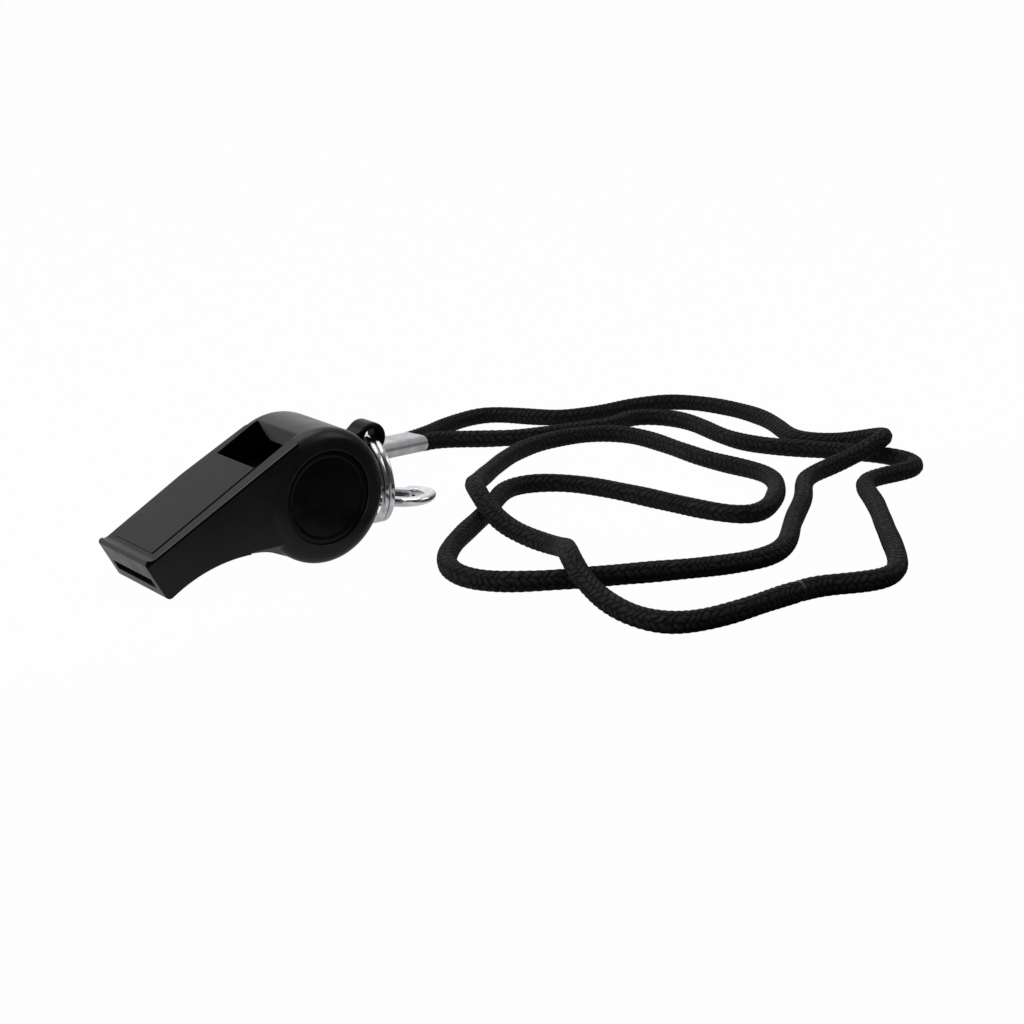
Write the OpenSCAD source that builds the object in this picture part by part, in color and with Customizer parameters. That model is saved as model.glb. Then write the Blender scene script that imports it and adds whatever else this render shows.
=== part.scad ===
// Sports whistle with a rolling cork pea, hung by a split ring from a trigger hook,
// and a long round cord lanyard that lies folded behind and beside it.
// X runs along the whistle with the mouthpiece toward -X, Y is the chamber axis, Z is up.

/* [Whistle body] */
// radius of the round sound chamber
chamber_radius = 12; // [9:0.5:18]
// half of the chamber's width along its axis
chamber_half_width = 9.3; // [7:0.1:14]
// rounding of the chamber's two rims
rim_round = 2.4; // [1.2:0.1:3.5]
// thickness of the shell between the chamber's outside and the bore that the pea rolls in
bore_wall = 4.4; // [3.4:0.1:5.5]
// length of the flat top, from the chamber to the front face
top_length = 33; // [26:0.5:46]
// slope of the flat top in degrees
top_slope = 29.3; // [20:0.1:40]
// half width of the mouthpiece at the front face
mouth_half_width = 8.2; // [6:0.1:12]
// height of the arch under the mouthpiece
arch_height = 4.75; // [3:0.05:8]
// radius of the long front part of that arch
arch_radius = 26; // [20:0.5:40]
// radius of its short part toward the chamber
arch_rear_radius = 12.4; // [9:0.1:20]
// rounding of the lower edge of the mouth
tip_round = 0.9; // [0.4:0.1:1.5]
// height of the rolled lip above the flat top
lip_rise = 0.57; // [0.3:0.01:1.2]
// length of that lip
lip_length = 2.1; // [1.5:0.1:4]

/* [Window and windway] */
// distance from the chamber end of the flat top to the front of the window
window_front = 7.64; // [6:0.02:12]
// distance that the window reaches past that end
window_back = 1.86; // [1:0.02:4]
// half width of the window and of the roof plate
window_half_width = 6.42; // [4:0.02:9]
// rounding of the corners between the rear face and the side walls
window_corner = 2; // [1:0.1:3]
// thickness of the roof plate over the windway
roof_thickness = 3.3; // [2:0.1:4]
// height of the windway
windway_height = 1.9; // [1:0.1:3]
// half width of the windway
windway_half_width = 6.2; // [4:0.1:8]
// width of the seam left round the roof plate
roof_seam = 0.12; // [0.06:0.01:0.3]

/* [Side caps and pea] */
// width of the chamber's rim round each side cap
cap_margin = 3.7; // [3:0.1:4.5]
// thickness of each side cap
cap_thickness = 1.8; // [1.2:0.1:3]
// depth of the cap's face below the rim
cap_recess = 0.4; // [0.2:0.05:1]
// width of the raised band at the cap's edge
cap_band = 1; // [0.6:0.1:2]
// gap between a cap and its seat
cap_fit = 0.02; // [0.01:0.01:0.05]
// room that the cork pea leaves in the bore
pea_room = 3; // [2:0.1:4]
// gap between the pea and the bore
pea_gap = 0.12; // [0.05:0.01:0.4]

/* [Lug and split ring] */
// height of the lug's hole above the chamber axis
lug_rise = 6.7; // [5:0.1:8]
// distance of the lug's hole past the chamber's rear, seen from above
lug_stand = 2.4; // [1.8:0.1:4]
// outer radius of the lug
lug_radius = 2.8; // [2.3:0.1:4]
// thickness of the lug along its hole
lug_thickness = 3.6; // [2.6:0.1:5]
// rounding of the lug's rims
lug_round = 0.6; // [0.3:0.05:0.9]
// radius of the lug's hole
lug_hole = 1.75; // [1.4:0.05:2.6]
// mean radius of the split ring
ring_radius = 7.3; // [6:0.1:11]
// thickness of one layer of the ring's wire along the ring's axis
ring_layer = 1; // [0.7:0.05:1.5]
// thickness of the wire toward the ring's centre
ring_wire = 1.3; // [0.9:0.05:2]
// gap between the two layers
ring_gap = 0.1; // [0.05:0.01:0.2]
// drop of the wire's centre below the centre of the lug's hole
ring_drop = 0.5; // [0.2:0.05:0.9]
// lean of the hanging ring in degrees
ring_lean = 3; // [0:0.5:9]
// turn of the hanging ring about the upright, in degrees
ring_yaw = 9; // [0:0.5:16]

/* [Trigger hook] */
// width of the hook over both rails
hook_width = 9.5; // [7:0.1:14]
// radius of the rails
rail_radius = 1.1; // [0.8:0.05:1.7]
// distance from the hook's middle to the tip of its bow
bow_reach = 10.5; // [8:0.1:16]
// distance from the middle to the hinge block
block_start = 6.3; // [5:0.1:9]
// length of the hinge block
block_length = 4.2; // [3.4:0.1:6.4]
// thickness of the hinge block
block_thickness = 3.8; // [3:0.1:5.5]
// radius of the gate's pin
pin_radius = 0.6; // [0.4:0.05:0.9]
// gap between the gate and the pin
pin_gap = 0.03; // [0.02:0.01:0.08]
// thickness of the gate
gate_thickness = 1.7; // [1.2:0.05:2.6]
// width of the gate's bar
gate_width = 1.6; // [1.1:0.05:2.4]
// radius of the gate's boss round the pin
gate_boss = 1.45; // [1.1:0.05:2.2]
// outer radius of the swivel's barrel
barrel_radius = 2.6; // [2.2:0.05:3.9]
// length of the barrel
barrel_length = 4.6; // [3.8:0.1:7]
// radius of the swivel's stem
stem_radius = 1.3; // [0.9:0.05:1.9]
// gap round the stem and its head
swivel_gap = 0.05; // [0.03:0.01:0.12]
// inner radius of the swivel's eye
eye_inner = 2.5; // [2.1:0.05:3.7]
// radius of the eye's wire
eye_wire = 0.85; // [0.6:0.05:1.3]

/* [Cord and ferrule] */
// diameter of the braided cord
cord_diameter = 3.6; // [3:0.1:3.7]
// length of the crimped sleeve
ferrule_length = 16.5; // [14:0.1:20]
// width of the sleeve
ferrule_width = 7.4; // [7:0.1:9]
// height of the sleeve
ferrule_height = 3.4; // [3:0.1:3.6]

/* [Hidden] */
fine = 96;
medium = 48;
bore_radius = chamber_radius - bore_wall;
cap_radius = chamber_radius - cap_margin;
cap_circle = cap_radius - cap_band;
pea_radius = bore_radius - pea_room;
lug_height = chamber_radius + lug_rise;
lug_reach = chamber_radius + lug_stand;
// side view: the flat top runs down from its tangent point on the chamber
tangent = [-chamber_radius * sin(top_slope), chamber_radius * (1 + cos(top_slope))];
function on_top(along, out) = [
    tangent[0] - along * cos(top_slope) - out * sin(top_slope),
    tangent[1] - along * sin(top_slope) + out * cos(top_slope)
];
lip_edge = lip_rise * 1.05;
lip_center = on_top(top_length - lip_edge, lip_rise - lip_edge);
lip_fillet_start = top_length - lip_length;
lip_fillet_run = lip_length - lip_edge;
lip_fillet_radius = (pow(lip_fillet_run, 2) + pow(lip_rise, 2)) / (2 * lip_rise);
tip_along = top_length - tip_round;
tip_out = (tip_round - tangent[1] + tip_along * sin(top_slope)) / cos(top_slope);
tip_center = on_top(tip_along, tip_out);
arch_center = [
    tip_center[0] + sqrt(pow(arch_radius + tip_round, 2)
                         - pow(tip_center[1] - arch_height + arch_radius, 2)),
    arch_height - arch_radius
];
arch_start = tip_center + (arch_center - tip_center) * tip_round / (arch_radius + tip_round);
rear_center = [arch_center[0], arch_height - arch_rear_radius];
rear_to_drum = [-rear_center[0], chamber_radius - rear_center[1]];
rear_turn = atan2(rear_to_drum[1], rear_to_drum[0])
    + acos(min(1, (arch_rear_radius + chamber_radius) / norm(rear_to_drum)));
rear_normal = [cos(rear_turn), sin(rear_turn)];
rear_end = rear_center + arch_rear_radius * rear_normal;
drum_end = [0, chamber_radius] - chamber_radius * rear_normal;
roof_start = top_length - lip_length * 1.24;
front_reach = lip_edge - lip_center[0];
lug_turn = atan2(lug_height - chamber_radius, lug_reach);
lug_flare = 0.2 * lug_hole;
lug_arm = norm([lug_reach, lug_height - chamber_radius]);
ring_width = 2 * ring_layer + ring_gap;
ring_hang = ring_drop + 2 * ring_radius;
split_turn = 125;
split_half = 0.7 * ring_wire;
rear_reach = lug_reach + lug_radius;
frame_shift = (front_reach - rear_reach) / 2;
pea_path = bore_radius - pea_radius - pea_gap;
corner_lean = 41;

// the hook lies nearly flat beside the ring, its near rail over the ring's lowest point
hook_yaw = -55;
hook_pitch = 4;
hook_lift = 1.01 * rail_radius;
hook_slide = 0.36 * rail_radius;
hook_aside = 0.89 * rail_radius;
rail_offset = hook_width / 2 - rail_radius;
ring_low = [
    lug_reach + ring_hang * sin(ring_lean) * cos(ring_yaw),
    -ring_hang * sin(ring_lean) * sin(ring_yaw),
    lug_height - ring_hang * cos(ring_lean)
];
hook_center = ring_low + (rail_offset + hook_aside) * [-sin(hook_yaw), cos(hook_yaw), 0]
    - hook_slide * [cos(hook_yaw), sin(hook_yaw), 0] + [0, 0, ring_wire / 2 + hook_lift + rail_radius];
bow_center = bow_reach - hook_width / 2;
nose_length = 1.05 * rail_radius;
nose_end = bow_center - nose_length;
block_half = block_thickness / 2;
pivot = [-block_start - 0.28 * block_length, rail_offset - 0.5 * rail_radius];
gate_tip = [nose_end + 0.72 * rail_radius, rail_offset - 1.9 * rail_radius];
gate_turn = atan2(gate_tip[1] - pivot[1], gate_tip[0] - pivot[0]);
gate_reach = norm(gate_tip - pivot);
spring_wire = 0.11 * gate_boss;
spring_radius = 0.72 * gate_boss;
spring_pitch = 2.6 * spring_wire;
spring_turns = 2.25;
spring_base = gate_thickness / 2 + 1.6 * spring_wire;
slot_low = -gate_thickness / 2 - pin_gap * 2;
slot_high = spring_base + spring_pitch * spring_turns + 1.6 * spring_wire;
slot_rear = pivot[0] - 1.4 * gate_boss;
slot_inner = pivot[1] - 1.25 * gate_boss;
barrel_start = block_start + block_length;
barrel_end = barrel_start + barrel_length;
head_radius = 0.77 * barrel_radius;
head_thickness = 0.3 * barrel_length;
end_wall = 0.28 * barrel_length;
eye_mean = eye_inner + eye_wire;
eye_reach = barrel_end + eye_wire + eye_mean + eye_wire;

// sleeve on the cord, from its rear middle to its mouth, beside the chamber
ferrule_rear = [40.2, 41.25, 2.9];
ferrule_mouth = [56.65, 45.1, 1.9];
ferrule_wall = 0.12 * ferrule_height;
strand_gap = 0.02 * ferrule_width;
joint_start = [49, -72.5, 1.8];
joint_end = [50, -72.5, 1.8];
cord_sides = 8;
cord_steps = 2;

// control points of the cord: behind the chamber, through the swivel's eye and back
bight_route = [
    [40.6, 39.4, 2.9], [33.5, 37.6, 2.6], [24.5, 32.5, 2.8], [15, 25.3, 3.6], [6.6, 18.4, 4.6],
    [1.5, 17.3, 4.2], [-3.7, 20.6, 3.2], [-5, 26.6, 2.2], [-1.7, 32, 1.8], [6.5, 37, 1.8],
    [16, 41, 1.8], [25, 42.5, 1.8], [33, 41.4, 2.5], [39.8, 43.1, 2.9]
];
long_route = [
    [56.2, 47, 1.9], [61, 48.2, 1.8], [85.5, 60, 1.8], [90.5, 39, 1.8], [115.5, 42.5, 1.8],
    [128.5, 37.5, 1.8], [131, 13.5, 1.8], [118, -2.5, 1.8], [127, -12.5, 2.2], [127, -26, 7.8],
    [113, -22, 1.8], [99.5, -24, 1.8], [91, -34.5, 1.8], [75, -45, 1.8], [60, -60.5, 1.8],
    [35.5, -49, 1.8], [9, -39, 1.8], [11.5, -24, 1.8], [27, -12, 1.8], [40, -3.5, 1.8],
    [50.5, 8, 1.8], [64, 2, 1.8], [68, -24, 1.8], [72.5, -39.5, 1.8], [85.5, -32, 1.8],
    [99, -19, 1.8], [93.5, -5, 1.8], [97.5, 16, 1.8], [94.5, 28.5, 1.8], [73.5, 30, 1.8],
    [55, 17.5, 1.8], [43, 7, 3], [34, -5, 8], [30.5, -17, 2.6], [34, -32.5, 1.8],
    [23.5, -44, 7.6], [20.5, -54.5, 1.8], [19, -75, 1.8], [44, -72.5, 1.8], [49, -72.5, 1.8]
];
short_route = [
    [50, -72.5, 1.8], [55, -72.5, 1.8], [65.5, -78, 1.8], [74, -73, 1.8], [86.5, -58, 1.8],
    [99.5, -44, 1.8], [106, -33.5, 1.8], [114.5, -33, 1.8], [124, -34, 1.8], [127.5, -27, 1.8],
    [123, -16.5, 1.8], [111.5, -3.5, 1.8], [109.5, 6.5, 1.8], [113, 18, 1.8], [114, 27.5, 1.8],
    [106.5, 34.5, 1.8], [99, 30, 1.8], [89.5, 32, 1.8], [74, 34, 1.8], [62, 44.3, 1.8],
    [57.1, 43.2, 1.9]
];

// smooth path over control points, with straight ends
function extended(route) = concat([2 * route[0] - route[1]], route,
                                  [2 * route[len(route) - 1] - route[len(route) - 2]]);
function blend(q, i, t) = (pow(1 - t, 3) * q[i]
                           + (3 * pow(t, 3) - 6 * pow(t, 2) + 4) * q[i + 1]
                           + (3 * t + 3 * pow(t, 2) - 3 * pow(t, 3) + 1) * q[i + 2]
                           + pow(t, 3) * q[i + 3]) / 6;
function smooth(route, steps) = let (q = extended(route)) concat(
    [for (i = [0:len(route) - 2]) for (k = [0:steps - 1]) blend(q, i, k / steps)],
    [route[len(route) - 1]]
);
function unit(v) = v / norm(v);
function heading(path, i) = unit(path[min(i + 1, len(path) - 1)] - path[max(i - 1, 0)]);

// one closed tube along a path, with flat ends square to the given directions
module tube(path, radius, sides, first, last) {
    n = len(path);
    points = [
        for (i = [0:n - 1])
            let (
                ahead = i == 0 ? unit(first) : i == n - 1 ? unit(last) : heading(path, i),
                aside = unit(cross(ahead, [0, 0, 1])),
                above = cross(aside, ahead)
            )
            for (k = [0:sides - 1])
                path[i] + radius * (cos(360 * (k + 0.5) / sides) * aside
                                    + sin(360 * (k + 0.5) / sides) * above)
    ];
    walls = [
        for (i = [0:n - 2]) for (k = [0:sides - 1])
            let (a = i * sides + k, b = i * sides + (k + 1) % sides)
            for (face = [[a, b, a + sides], [b, b + sides, a + sides]]) face
    ];
    start_cap = [for (k = [1:sides - 2]) [0, k + 1, k]];
    end_cap = [for (k = [1:sides - 2]) [(n - 1) * sides, (n - 1) * sides + k, (n - 1) * sides + k + 1]];
    polyhedron(points = points, faces = concat(walls, start_cap, end_cap));
}

module cord(route) {
    path = smooth(route, cord_steps);
    n = len(route);
    tube(path, cord_diameter / 2, cord_sides, route[1] - route[0], route[n - 1] - route[n - 2]);
}

module placed() translate([frame_shift, 0, 0]) children();

module across(radius, half, at) translate([at[0], 0, at[1]]) rotate([90, 0, 0])
    cylinder(r = radius, h = 2 * half, center = true, $fn = fine);

// frame on the flat top: X back toward the chamber, Z out of the top
module on_flat_top() translate([tangent[0], 0, tangent[1]]) rotate([0, -top_slope, 0]) children();

// block in that frame, given by its distances down the top and out of it
module top_block(from, to, low, high, half) translate([-to, -half, low])
    cube([to - from, 2 * half, high - low]);

// disc with rounded rims, its axis along Y
module rounded_disc(radius, half, round, at) {
    across(radius, half - round, at);
    across(radius - round, half, at);
    for (side = [-1, 1])
        translate([at[0], side * (half - round), at[1]])
            rotate([90, 0, 0])
                rotate_extrude($fn = fine)
                    translate([radius - round, 0])
                        circle(r = round, $fn = medium);
}

module drum() rounded_disc(chamber_radius, chamber_half_width, rim_round, [0, chamber_radius]);

module side_profile() polygon([
    tangent,
    on_top(top_length - lip_edge, 0),
    lip_center,
    on_top(top_length, lip_rise - lip_edge),
    on_top(top_length, tip_out),
    tip_center,
    arch_start,
    [arch_center[0], arch_start[1]],
    rear_end,
    drum_end,
    [0, chamber_radius]
]);

module lip() on_flat_top() difference() {
    top_block(lip_fillet_start, top_length - lip_edge, -lip_edge, lip_rise, chamber_half_width);
    translate([-lip_fillet_start, 0, lip_fillet_radius])
        rotate([90, 0, 0])
            cylinder(r = lip_fillet_radius, h = 3 * chamber_half_width, center = true, $fn = fine);
}

// slanted cut that eases a lower corner of the mouthpiece into the chamber's rounded rim
module corner_cut(side)
    translate([rear_center[0], side * (chamber_half_width - rim_round), rear_end[1]])
        rotate([(corner_lean - 180) * side, 0, 0])
            translate([0, -chamber_radius, 0])
                cube([-rear_center[0], 2 * chamber_radius, chamber_radius]);

module mouthpiece() difference() {
    full_mouthpiece();
    corner_cut(-1);
    corner_cut(1);
}

module full_mouthpiece() intersection() {
    union() {
        difference() {
            rotate([90, 0, 0])
                linear_extrude(height = 2 * chamber_half_width, center = true)
                    side_profile();
            intersection() {
                across(arch_radius, 2 * chamber_half_width, arch_center);
                translate([arch_center[0] - 2 * arch_radius, -2 * chamber_half_width, -arch_radius])
                    cube([2 * arch_radius, 4 * chamber_half_width, 2 * arch_radius]);
            }
            across(arch_rear_radius, 2 * chamber_half_width, rear_center);
        }
        lip();
        across(lip_edge, chamber_half_width, lip_center);
        across(tip_round, chamber_half_width, tip_center);
    }
    linear_extrude(height = 2 * chamber_radius + lip_rise)
        polygon([
            [-front_reach - lip_rise, -mouth_half_width],
            [0, -chamber_half_width],
            [0, chamber_half_width],
            [-front_reach - lip_rise, mouth_half_width]
        ]);
}

module lug() difference() {
    union() {
        rounded_disc(lug_radius, lug_thickness / 2, lug_round, [lug_reach, lug_height]);
        translate([0, 0, chamber_radius]) rotate([0, -lug_turn, 0])
            translate([chamber_radius * 0.85, -lug_thickness * 0.42, -lug_radius * 0.9])
                cube([lug_arm - chamber_radius * 0.85, lug_thickness * 0.84, lug_radius * 1.8]);
    }
    across(lug_hole, lug_thickness, [lug_reach, lug_height]);
    for (side = [-1, 1])
        translate([lug_reach, side * lug_thickness / 2, lug_height])
            rotate([-90 * side, 0, 0])
                translate([0, 0, -lug_flare])
                    cylinder(r1 = lug_hole, r2 = lug_hole + 2 * lug_flare, h = 2 * lug_flare, $fn = fine);
}

// the window's straight walls, with its lower edges rounded where they meet the chamber
module window_cut() on_flat_top() {
    low = -roof_thickness - windway_height;
    top_block(-window_back, window_front, low + window_corner, chamber_radius, window_half_width);
    top_block(-window_back, window_front, low, chamber_radius, window_half_width - window_corner);
    for (side = [-1, 1])
        translate([-window_front, side * (window_half_width - window_corner), low + window_corner])
            rotate([0, 90, 0])
                cylinder(r = window_corner, h = window_front + window_back, $fn = medium);
}

module windway_cut() on_flat_top() {
    low = -roof_thickness - windway_height;
    top_block(0, top_length + lip_length, low, -roof_thickness, windway_half_width);
    top_block(roof_start + roof_seam * 3, top_length + lip_length, low, -roof_thickness,
              window_half_width + roof_seam * 2);
    top_block(window_front * 0.98, roof_start, -roof_thickness, chamber_radius, window_half_width);
}

module body_shell() color([0.13, 0.13, 0.14]) placed() difference() {
    union() {
        drum();
        mouthpiece();
        lug();
    }
    across(bore_radius, 2 * chamber_half_width, [0, chamber_radius]);
    for (side = [-1, 1])
        translate([0, side * (chamber_half_width + cap_thickness / 2 - cap_recess / 2), chamber_radius])
            rotate([90, 0, 0])
                cylinder(r = cap_radius, h = 2 * cap_thickness + cap_recess + cap_thickness,
                         center = true, $fn = fine);
    window_cut();
    windway_cut();
}

// plate over the windway, with a fine seam where it meets the cheeks
module windway_roof() color([0.2, 0.2, 0.21]) placed() on_flat_top() {
    top_block(window_front, roof_start, -roof_thickness, -roof_seam * 2, window_half_width);
    top_block(window_front, roof_start - roof_seam, -roof_seam * 3, 0, window_half_width - roof_seam);
}

// disc with a raised rim and a shallow dished face
module cap() rotate_extrude($fn = fine) polygon([
    [0, 0],
    [cap_radius - cap_fit, 0],
    [cap_radius - cap_fit, cap_thickness],
    [cap_circle, cap_thickness],
    [cap_circle - 0.1 * cap_thickness, cap_thickness * 0.92],
    [0, cap_thickness * 0.84]
]);

module side_cap_near() color([0.08, 0.08, 0.09]) placed()
    translate([0, cap_recess + cap_thickness - chamber_half_width, chamber_radius])
        rotate([90, 0, 0]) cap();

module side_cap_far() color([0.08, 0.08, 0.09]) placed()
    translate([0, chamber_half_width - cap_recess - cap_thickness, chamber_radius])
        rotate([-90, 0, 0]) cap();

module pea() color([0.72, 0.55, 0.36]) placed()
    translate([0, 0, chamber_radius - pea_path]) sphere(r = pea_radius, $fn = medium);

// frame of the hanging ring: origin on the lug's hole, Z up along the lean
module hanging() translate([lug_reach, 0, lug_height]) rotate([0, 0, -ring_yaw]) rotate([0, -ring_lean, 0])
    translate([0, 0, -ring_drop - ring_radius]) rotate([0, 90, 0]) children();

module ring_coil(level) rotate_extrude($fn = fine)
    polygon([
        [ring_radius - ring_wire / 2 + ring_wire * 0.15, level],
        [ring_radius + ring_wire / 2 - ring_wire * 0.15, level],
        [ring_radius + ring_wire / 2, level + ring_layer * 0.2],
        [ring_radius + ring_wire / 2, level + ring_layer * 0.8],
        [ring_radius + ring_wire / 2 - ring_wire * 0.15, level + ring_layer],
        [ring_radius - ring_wire / 2 + ring_wire * 0.15, level + ring_layer],
        [ring_radius - ring_wire / 2, level + ring_layer * 0.8],
        [ring_radius - ring_wire / 2, level + ring_layer * 0.2]
    ]);

// two turns of flat wire, joined only where the wire steps over from one to the other
module split_ring() color([0.8, 0.8, 0.82]) placed() hanging() rotate([0, 0, split_turn]) {
    step = ring_layer / 2 + ring_gap / 2;
    difference() {
        union() {
            ring_coil(-ring_width / 2);
            ring_coil(ring_gap / 2);
        }
        translate([ring_radius - ring_wire, -split_half, -ring_width])
            cube([2 * ring_wire, 2 * split_half, 2 * ring_width]);
    }
    translate([ring_radius + ring_wire * 0.36, 0, 0]) rotate([90, 0, -90])
        linear_extrude(height = ring_wire * 0.72)
            polygon([
                [split_half * 1.6, -step - ring_layer * 0.4],
                [split_half * 0.5, -step - ring_layer * 0.4],
                [-split_half * 1.6, step - ring_layer * 0.3],
                [-split_half * 1.6, step + ring_layer * 0.4],
                [-split_half * 0.5, step + ring_layer * 0.4],
                [split_half * 1.6, -step + ring_layer * 0.3]
            ]);
}

// frame of the hook: origin in its middle, X toward the bow, Y to the far rail
module hooked() translate(hook_center) rotate([0, -hook_pitch, hook_yaw]) children();

module bar(from, to, aside, radius) translate([from, aside, 0]) rotate([0, 90, 0])
    cylinder(r = radius, h = to - from, $fn = medium);

module hook_frame() color([0.78, 0.78, 0.8]) placed() hooked() difference() {
    union() {
        bar(-block_start - rail_radius / 2, bow_center, -rail_offset, rail_radius);
        translate([bow_center, 0, 0])
            rotate([0, 0, -90])
                rotate_extrude(angle = 180, $fn = fine)
                    translate([rail_offset, 0]) circle(r = rail_radius, $fn = medium);
        bar(nose_end, bow_center, rail_offset, rail_radius);
        translate([nose_end, rail_offset, 0]) sphere(r = rail_radius, $fn = medium);
        translate([0, 0, -block_half])
            linear_extrude(height = block_thickness)
                polygon([
                    [-block_start + rail_radius / 3, -hook_width / 2 + rail_radius / 3],
                    [-block_start - block_length / 5, -hook_width * 0.39],
                    [-barrel_start, -barrel_radius * 0.92],
                    [-barrel_start, barrel_radius * 0.92],
                    [slot_rear - rail_radius / 2, hook_width / 2],
                    [-block_start, hook_width / 2]
                ]);
        bar(-barrel_end, -barrel_start + rail_radius, 0, barrel_radius);
    }
    translate([slot_rear, slot_inner, slot_low])
        cube([block_start + block_length, hook_width, slot_high - slot_low]);
    translate([pivot[0], pivot[1], -block_thickness])
        cylinder(r = pin_radius, h = 2 * block_thickness, $fn = medium);
    bar(-barrel_end - end_wall, -barrel_start, 0, stem_radius + swivel_gap);
    bar(-barrel_end + end_wall, -barrel_start - swivel_gap, 0, head_radius + swivel_gap);
}

module hook_gate() color([0.82, 0.82, 0.84]) placed() hooked()
    translate([pivot[0], pivot[1], -gate_thickness / 2]) rotate([0, 0, gate_turn]) difference() {
        union() {
            cylinder(r = gate_boss, h = gate_thickness, $fn = medium);
            translate([0, -gate_width / 2, 0]) cube([gate_reach, gate_width, gate_thickness]);
            translate([gate_reach, 0, 0])
                cylinder(r = gate_width / 2, h = gate_thickness, $fn = medium);
        }
        translate([0, 0, -gate_thickness])
            cylinder(r = pin_radius + pin_gap, h = 3 * gate_thickness, $fn = medium);
    }

module gate_pin() color([0.7, 0.7, 0.72]) placed() hooked() translate([pivot[0], pivot[1], -block_half])
    cylinder(r = pin_radius, h = block_thickness, $fn = medium);

// coil round the pin over the gate, one leg along the gate and one toward the block
module gate_spring() color([0.6, 0.6, 0.62]) placed() hooked() {
    count = 8;
    last = floor(spring_turns * count);
    coil = [
        for (i = [0:last])
            [spring_radius * cos(gate_turn - 90 - 360 * i / count),
             spring_radius * sin(gate_turn - 90 - 360 * i / count),
             spring_base + spring_pitch * i / count]
    ];
    leg_in = coil[0] + [-spring_radius * 1.1 * cos(gate_turn), -spring_radius * 1.1 * sin(gate_turn), 0];
    leg_out = coil[last] + [gate_boss * 1.6 * cos(gate_turn), gate_boss * 1.6 * sin(gate_turn), 0];
    path = concat([leg_in], coil, [leg_out]);
    echo(spring_least_gap = spring_pitch - 2 * spring_wire);
    translate([pivot[0], pivot[1], 0])
        tube(path, spring_wire, 6, path[1] - path[0], path[last + 2] - path[last + 1]);
}

module swivel_eye() color([0.78, 0.78, 0.8]) placed() hooked() {
    bar(-barrel_end + end_wall + swivel_gap, -barrel_end + end_wall + swivel_gap + head_thickness, 0,
        head_radius);
    bar(-eye_reach + eye_mean, -barrel_end + end_wall + head_thickness / 2, 0, stem_radius);
    translate([-eye_reach, 0, 0])
        rotate([90, 0, 0])
            rotate_extrude($fn = fine)
                translate([eye_mean, 0]) circle(r = eye_wire, $fn = medium);
}

// frame of the sleeve: origin in its middle, X toward the neck cord
module sleeved() {
    run = ferrule_mouth - ferrule_rear;
    translate((ferrule_rear + ferrule_mouth) / 2)
        rotate([0, -atan2(run[2], norm([run[0], run[1]])), atan2(run[1], run[0])]) children();
}

module oval(width, height, length) translate([-length / 2, 0, 0]) {
    for (side = [-1, 1])
        translate([0, side * (width - height) / 2, 0])
            rotate([0, 90, 0]) cylinder(r = height / 2, h = length, $fn = medium);
    translate([0, -(width - height) / 2, -height / 2]) cube([length, width - height, height]);
}

module ferrule() color([0.7, 0.7, 0.7]) placed() sleeved() difference() {
    oval(ferrule_width, ferrule_height, ferrule_length);
    oval(ferrule_width - 2 * ferrule_wall, ferrule_height - 2 * ferrule_wall, 2 * ferrule_length);
}

// the two strands where the sleeve squeezes them flat
module crimped_strands() color([0.1, 0.1, 0.1]) placed() sleeved() difference() {
    oval(ferrule_width - 2 * ferrule_wall, ferrule_height - 2 * ferrule_wall, ferrule_length);
    translate([-ferrule_length, -strand_gap / 2, -ferrule_height])
        cube([2 * ferrule_length, strand_gap, 2 * ferrule_height]);
}

module cord_bight() color([0.1, 0.1, 0.1]) placed() cord(bight_route);

module neck_cord_long() color([0.1, 0.1, 0.1]) placed() cord(long_route);

module neck_cord_short() color([0.1, 0.1, 0.1]) placed() cord(short_route);

// the melted joint that closes the neck loop
module cord_joint() color([0.05, 0.05, 0.05]) placed() translate(joint_start) rotate([0, 90, 0])
    cylinder(r = cord_diameter * 0.48, h = joint_end[0] - joint_start[0], $fn = medium);

body_shell();
windway_roof();
side_cap_near();
side_cap_far();
pea();
split_ring();
hook_frame();
hook_gate();
gate_pin();
gate_spring();
swivel_eye();
ferrule();
crimped_strands();
cord_bight();
neck_cord_long();
neck_cord_short();
cord_joint();
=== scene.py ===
"""Dresses a sports whistle, its split ring and trigger hook, and the braided cord that it hangs on.

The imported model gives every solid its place. Here the cords get their braid, the hard pieces get
softened edges, every surface gets its finish, and the camera stands where the photograph was taken.
Lengths are in metres, apart from names that end in _mm.
"""
import logging
import math
from collections.abc import Callable
from dataclasses import dataclass
from enum import Enum

import bmesh
import bpy
import numpy as np
from bpy.types import Material, Mesh, MeshPolygon, Node, NodeSocket, NodeTree, Object
from mathutils import Matrix, Vector


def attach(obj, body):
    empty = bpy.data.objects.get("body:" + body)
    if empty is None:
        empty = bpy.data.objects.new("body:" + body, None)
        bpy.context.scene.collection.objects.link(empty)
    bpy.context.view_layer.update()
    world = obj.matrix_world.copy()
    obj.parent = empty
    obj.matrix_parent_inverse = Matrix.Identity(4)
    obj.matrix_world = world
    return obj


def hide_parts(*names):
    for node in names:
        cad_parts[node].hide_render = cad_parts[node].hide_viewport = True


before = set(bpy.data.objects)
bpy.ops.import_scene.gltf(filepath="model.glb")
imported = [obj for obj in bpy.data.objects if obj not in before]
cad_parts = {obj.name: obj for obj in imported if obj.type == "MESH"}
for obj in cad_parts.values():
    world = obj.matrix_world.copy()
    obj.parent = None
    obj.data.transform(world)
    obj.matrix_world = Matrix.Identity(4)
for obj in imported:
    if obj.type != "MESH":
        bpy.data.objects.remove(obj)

log = logging.getLogger("whistle")
Test = Callable[[Vector], bool]
MM = 0.001
# Places in millimetres are measured from the chamber's axis, which stands here in the model.
CHAMBER_MM = (8.756747, 0.0, 0.0)
# Two faces that meet at this angle or more have an edge between them.
EDGE_ANGLE = math.radians(32.0)
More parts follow.
